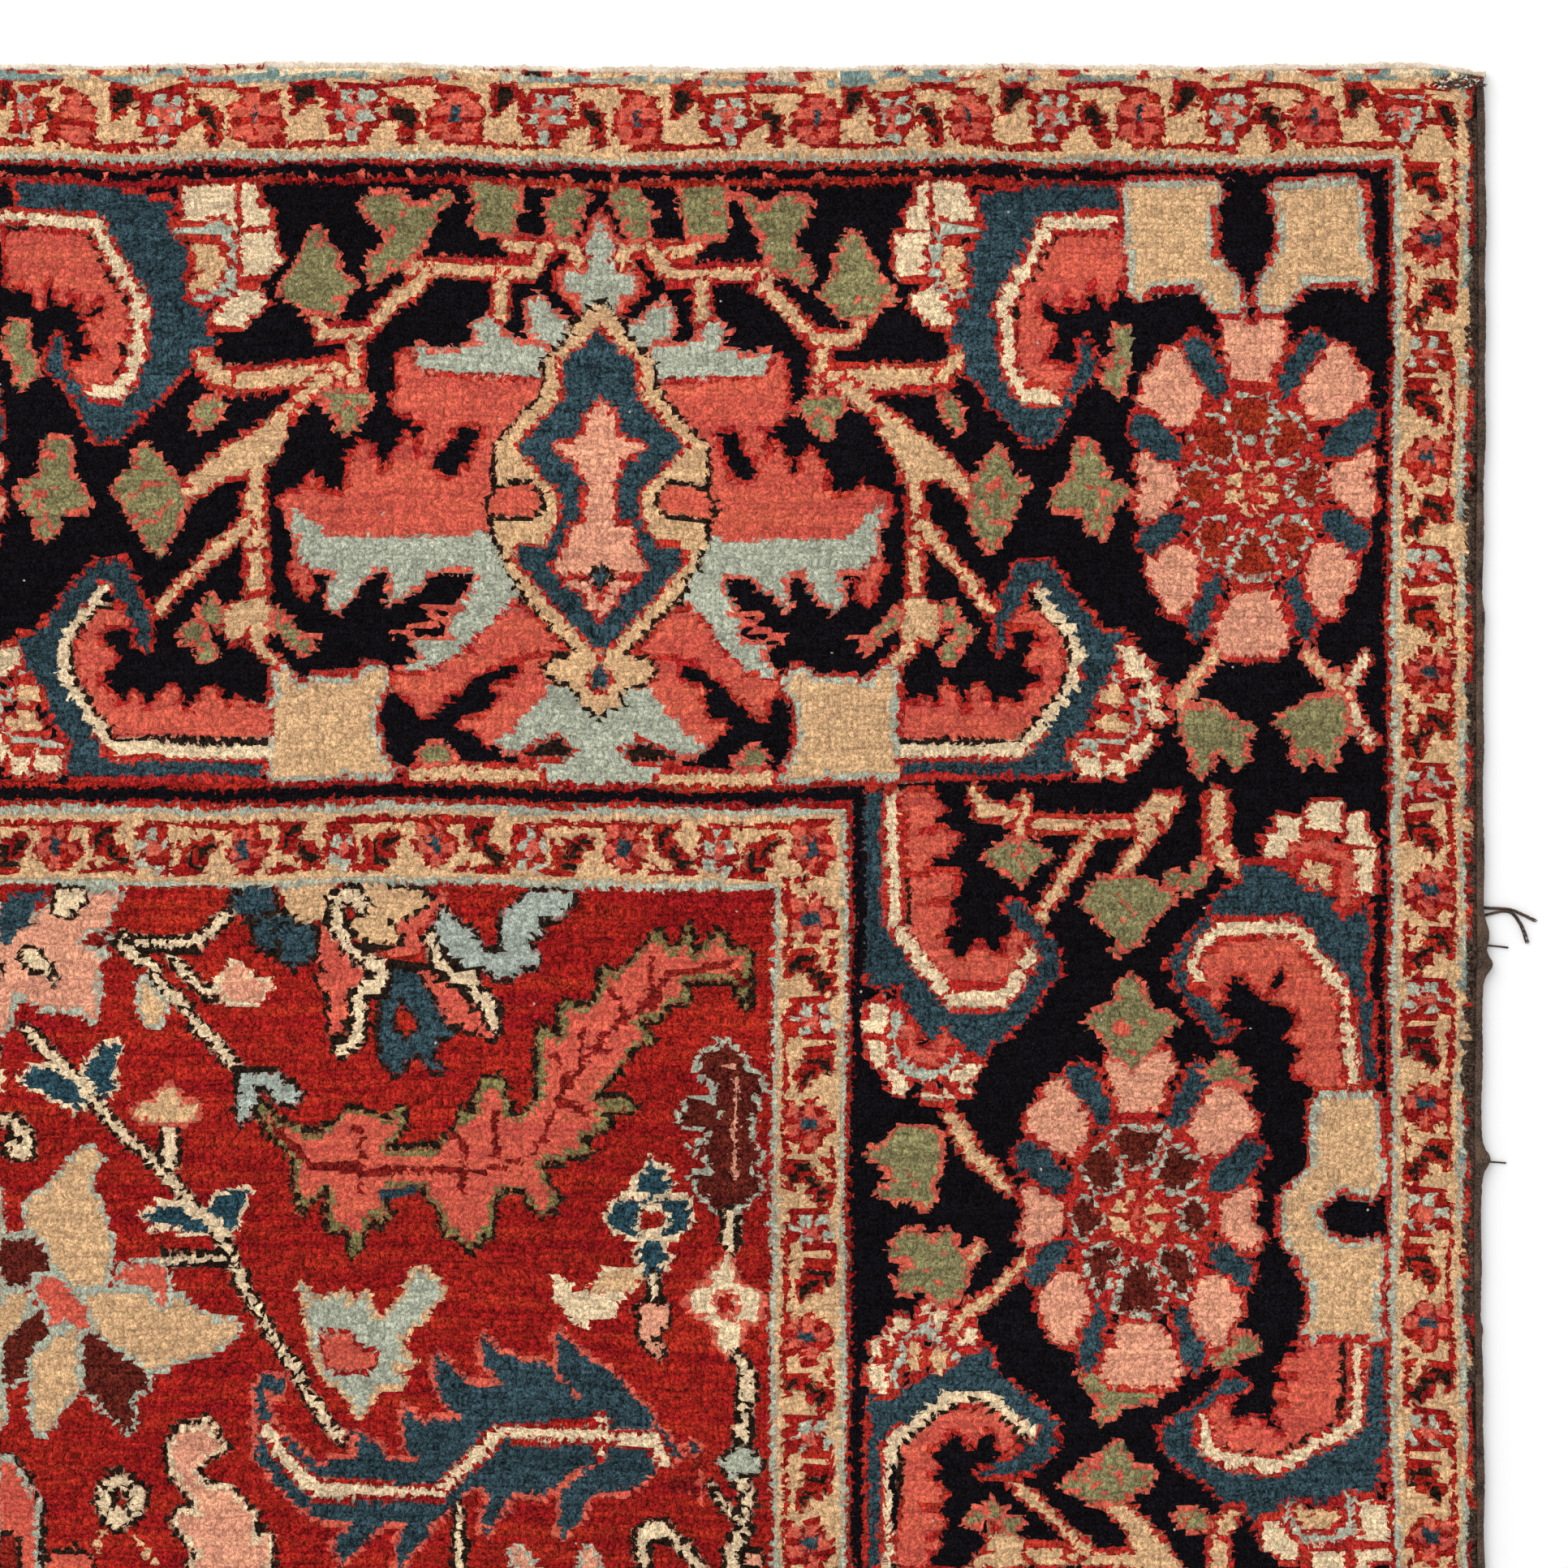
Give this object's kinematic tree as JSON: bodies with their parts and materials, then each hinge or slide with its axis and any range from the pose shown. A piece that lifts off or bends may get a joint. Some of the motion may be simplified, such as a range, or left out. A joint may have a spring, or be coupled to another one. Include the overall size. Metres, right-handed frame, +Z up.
{
  "type": "persian rug",
  "caption": "Hand-knotted wool carpet with a red field, navy palmette border, goat-hair selvedges and narrow cotton end webs.",
  "frame": {"origin": "under the middle of the carpet, on the floor", "axes": "+Z up out of the pile, +Y along the length, +X along the width"},
  "size_m": [2.761, 3.8609, 0.009],
  "materials": {
    "wool_pile": "knotted wool pile in madder red, navy, camel, coral, salmon, cream, celadon and sage",
    "goat_hair": "dark brown goat-hair overcasting",
    "cotton_web": "undyed cotton warp and weft"
  },
  "bodies": {
    "root": {"knotted_carpet": "wool_pile", "selvedge_right": "goat_hair", "selvedge_left": "goat_hair", "end_web_top": "cotton_web", "end_web_bottom": "cotton_web"}
  },
  "joints": []
}
